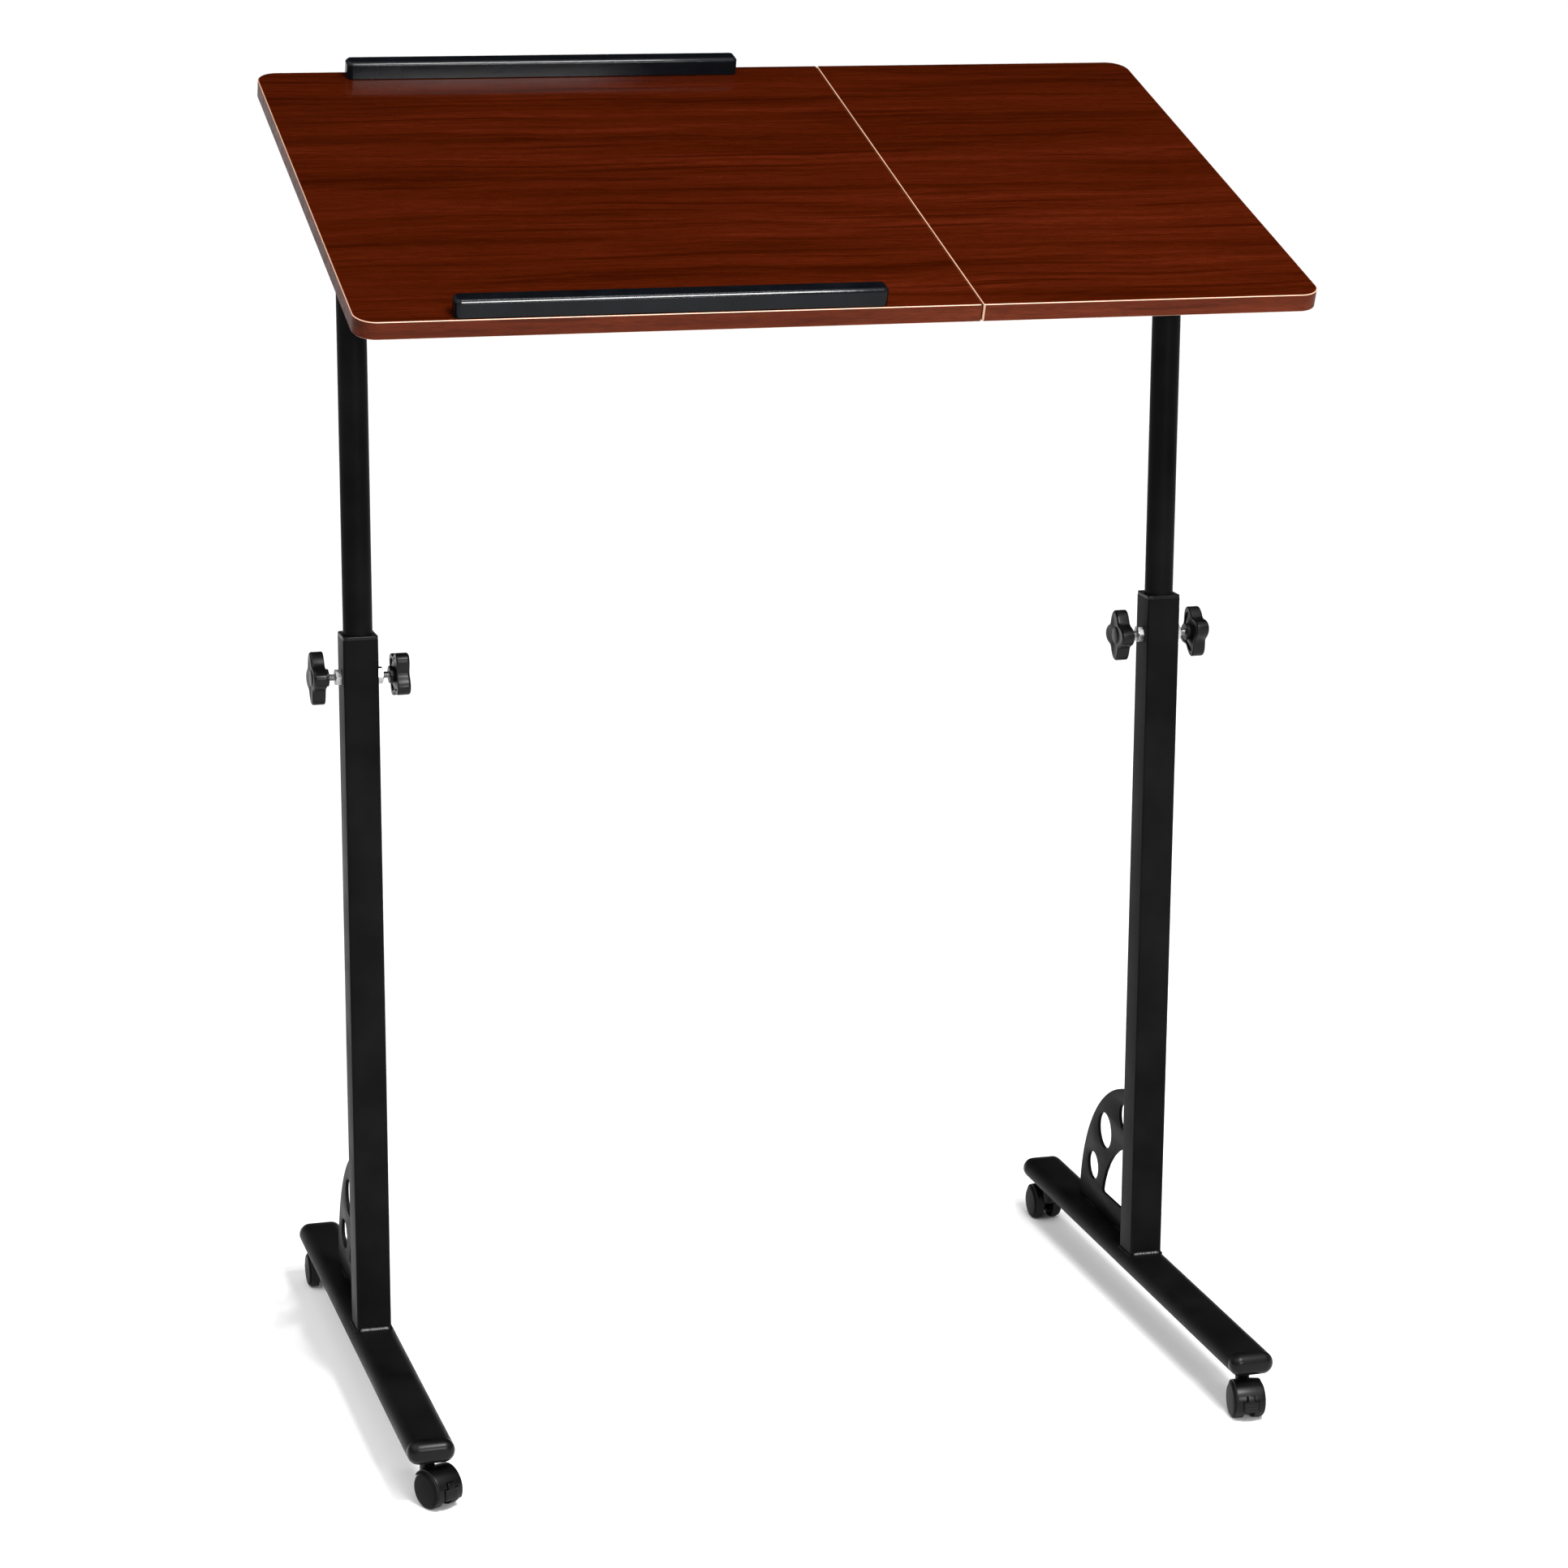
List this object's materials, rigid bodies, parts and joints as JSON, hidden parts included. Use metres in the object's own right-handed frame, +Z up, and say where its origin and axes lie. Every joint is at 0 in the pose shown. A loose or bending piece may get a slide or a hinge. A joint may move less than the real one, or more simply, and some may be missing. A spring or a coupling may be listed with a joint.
{
  "type": "laptop table",
  "caption": "Height-adjustable laptop table on casters: telescopic legs with lobed lock knobs, a cross beam and a split mahogany-pattern top whose leaves tilt, with stop bars on the wide leaf.",
  "frame": {"origin": "on the floor, under the middle of the table", "axes": "+Z up, +X to the user's right, +Y away from the user; the user stands at -Y"},
  "size_m": [0.8026, 0.5643, 1.1424],
  "materials": {
    "powder_coat": "satin black powder coat on steel",
    "black_plastic": "moulded black plastic, fine matte grain",
    "glossy_plastic": "glossy black plastic",
    "wheel_plastic": "hard black plastic tread",
    "zinc": "bright zinc plating",
    "mahogany": "glossy mahogany-pattern laminate on board",
    "edge_band": "satin red-brown plastic edge band"
  },
  "bodies": {
    "base": {"foot_tube_left": "powder_coat", "foot_tube_right": "powder_coat", "foot_cap_left_front": "black_plastic", "foot_cap_left_rear": "black_plastic", "foot_cap_right_front": "black_plastic", "foot_cap_right_rear": "black_plastic", "outer_post_left": "powder_coat", "outer_post_right": "powder_coat", "gusset_left": "powder_coat", "gusset_right": "powder_coat", "post_collar_left": "black_plastic", "post_collar_right": "black_plastic", "height_nut_left_outer": "zinc", "height_nut_left_inner": "zinc", "height_nut_right_outer": "zinc", "height_nut_right_inner": "zinc", "caster_stem_left_front": "zinc", "caster_stem_left_rear": "zinc", "caster_stem_right_front": "zinc", "caster_stem_right_rear": "zinc"},
    "rising_frame": {"inner_tube_left": "powder_coat", "inner_tube_right": "powder_coat", "cross_beam": "powder_coat", "beam_plug_left": "black_plastic", "beam_plug_right": "black_plastic"},
    "left_leaf": {"panel_left": "mahogany", "edge_band_left": "edge_band", "front_stop": "glossy_plastic", "rear_stop": "glossy_plastic", "tilt_strap_left_outer": "powder_coat", "tilt_strap_left_inner": "powder_coat"},
    "right_leaf": {"panel_right": "mahogany", "edge_band_right": "edge_band", "tilt_strap_right_outer": "powder_coat", "tilt_strap_right_inner": "powder_coat"},
    "knob_left_outer": {"height_knob_left_outer": "black_plastic"},
    "knob_left_inner": {"height_knob_left_inner": "black_plastic"},
    "knob_right_outer": {"height_knob_right_outer": "black_plastic"},
    "knob_right_inner": {"height_knob_right_inner": "black_plastic"},
    "knob_left_tilt": {"tilt_knob_left": "black_plastic"},
    "knob_right_tilt": {"tilt_knob_right": "black_plastic"},
    "caster_left_front": {"caster_hood_left_front": "black_plastic", "caster_axle_left_front": "zinc"},
    "caster_left_rear": {"caster_hood_left_rear": "black_plastic", "caster_axle_left_rear": "zinc"},
    "caster_right_front": {"caster_hood_right_front": "black_plastic", "caster_axle_right_front": "zinc"},
    "caster_right_rear": {"caster_hood_right_rear": "black_plastic", "caster_axle_right_rear": "zinc"},
    "wheel_left_front_a": {"caster_wheel_left_front_a": "wheel_plastic"},
    "wheel_left_front_b": {"caster_wheel_left_front_b": "wheel_plastic"},
    "wheel_left_rear_a": {"caster_wheel_left_rear_a": "wheel_plastic"},
    "wheel_left_rear_b": {"caster_wheel_left_rear_b": "wheel_plastic"},
    "wheel_right_front_a": {"caster_wheel_right_front_a": "wheel_plastic"},
    "wheel_right_front_b": {"caster_wheel_right_front_b": "wheel_plastic"},
    "wheel_right_rear_a": {"caster_wheel_right_rear_a": "wheel_plastic"},
    "wheel_right_rear_b": {"caster_wheel_right_rear_b": "wheel_plastic"},
    "brake_left": {"brake_lever_left_front": "black_plastic"},
    "brake_right": {"brake_lever_right_front": "black_plastic"}
  },
  "joints": [
    {"name": "height", "type": "slide", "parent": "base", "child": "rising_frame", "axis": [0, 0, 1], "range_m": [-0.32, 0]},
    {"name": "left_leaf_tilt", "type": "hinge", "parent": "rising_frame", "child": "left_leaf", "pos_m": [0, 0, 1.0235], "axis": [1, 0, 0], "range_deg": [-18.5, 26.5]},
    {"name": "right_leaf_tilt", "type": "hinge", "parent": "rising_frame", "child": "right_leaf", "pos_m": [0, 0, 1.0235], "axis": [1, 0, 0], "range_deg": [-18.5, 26.5]},
    {"name": "left_outer_knob_turn", "type": "hinge", "parent": "base", "child": "knob_left_outer", "pos_m": [-0.36, 0, 0.6413], "axis": [-1, 0, 0], "range_deg": [0, 720]},
    {"name": "left_inner_knob_turn", "type": "hinge", "parent": "base", "child": "knob_left_inner", "pos_m": [-0.36, 0, 0.6413], "axis": [1, 0, 0], "range_deg": [0, 720]},
    {"name": "right_outer_knob_turn", "type": "hinge", "parent": "base", "child": "knob_right_outer", "pos_m": [0.36, 0, 0.6413], "axis": [1, 0, 0], "range_deg": [0, 720]},
    {"name": "right_inner_knob_turn", "type": "hinge", "parent": "base", "child": "knob_right_inner", "pos_m": [0.36, 0, 0.6413], "axis": [-1, 0, 0], "range_deg": [0, 720]},
    {"name": "left_tilt_knob_turn", "type": "hinge", "parent": "left_leaf", "child": "knob_left_tilt", "pos_m": [0.05, 0, 1.0235], "axis": [0, 0.3173, -0.9483], "range_deg": [0, 720]},
    {"name": "right_tilt_knob_turn", "type": "hinge", "parent": "right_leaf", "child": "knob_right_tilt", "pos_m": [0.163, 0, 1.0235], "axis": [0, 0.3173, -0.9483], "range_deg": [0, 720]},
    {"name": "left_front_swivel", "type": "hinge", "parent": "base", "child": "caster_left_front", "pos_m": [-0.36, -0.249, 0.03], "axis": [0, 0, 1], "continuous": true},
    {"name": "left_rear_swivel", "type": "hinge", "parent": "base", "child": "caster_left_rear", "pos_m": [-0.36, 0.249, 0.03], "axis": [0, 0, 1], "continuous": true},
    {"name": "right_front_swivel", "type": "hinge", "parent": "base", "child": "caster_right_front", "pos_m": [0.36, -0.249, 0.03], "axis": [0, 0, 1], "continuous": true},
    {"name": "right_rear_swivel", "type": "hinge", "parent": "base", "child": "caster_right_rear", "pos_m": [0.36, 0.249, 0.03], "axis": [0, 0, 1], "continuous": true},
    {"name": "left_front_wheel_a_spin", "type": "hinge", "parent": "caster_left_front", "child": "wheel_left_front_a", "pos_m": [-0.35364, -0.26147, 0.016], "axis": [0.891, 0.454, 0], "continuous": true},
    {"name": "left_front_wheel_b_spin", "type": "hinge", "parent": "caster_left_front", "child": "wheel_left_front_b", "pos_m": [-0.35364, -0.26147, 0.016], "axis": [0.891, 0.454, 0], "continuous": true},
    {"name": "left_rear_wheel_a_spin", "type": "hinge", "parent": "caster_left_rear", "child": "wheel_left_rear_a", "pos_m": [-0.36, 0.263, 0.016], "axis": [1, 0, 0], "continuous": true},
    {"name": "left_rear_wheel_b_spin", "type": "hinge", "parent": "caster_left_rear", "child": "wheel_left_rear_b", "pos_m": [-0.36, 0.263, 0.016], "axis": [1, 0, 0], "continuous": true},
    {"name": "right_front_wheel_a_spin", "type": "hinge", "parent": "caster_right_front", "child": "wheel_right_front_a", "pos_m": [0.35829, -0.2629, 0.016], "axis": [0.9925, -0.1219, 0], "continuous": true},
    {"name": "right_front_wheel_b_spin", "type": "hinge", "parent": "caster_right_front", "child": "wheel_right_front_b", "pos_m": [0.35829, -0.2629, 0.016], "axis": [0.9925, -0.1219, 0], "continuous": true},
    {"name": "right_rear_wheel_a_spin", "type": "hinge", "parent": "caster_right_rear", "child": "wheel_right_rear_a", "pos_m": [0.36, 0.263, 0.016], "axis": [1, 0, 0], "continuous": true},
    {"name": "right_rear_wheel_b_spin", "type": "hinge", "parent": "caster_right_rear", "child": "wheel_right_rear_b", "pos_m": [0.36, 0.263, 0.016], "axis": [1, 0, 0], "continuous": true},
    {"name": "left_brake_rock", "type": "hinge", "parent": "caster_left_front", "child": "brake_left", "pos_m": [-0.34559, -0.27727, 0.02009], "axis": [0.891, 0.454, 0], "range_deg": [-12, 0]},
    {"name": "right_brake_rock", "type": "hinge", "parent": "caster_right_front", "child": "brake_right", "pos_m": [0.35613, -0.2805, 0.02009], "axis": [0.9925, -0.1219, 0], "range_deg": [-12, 0]}
  ]
}
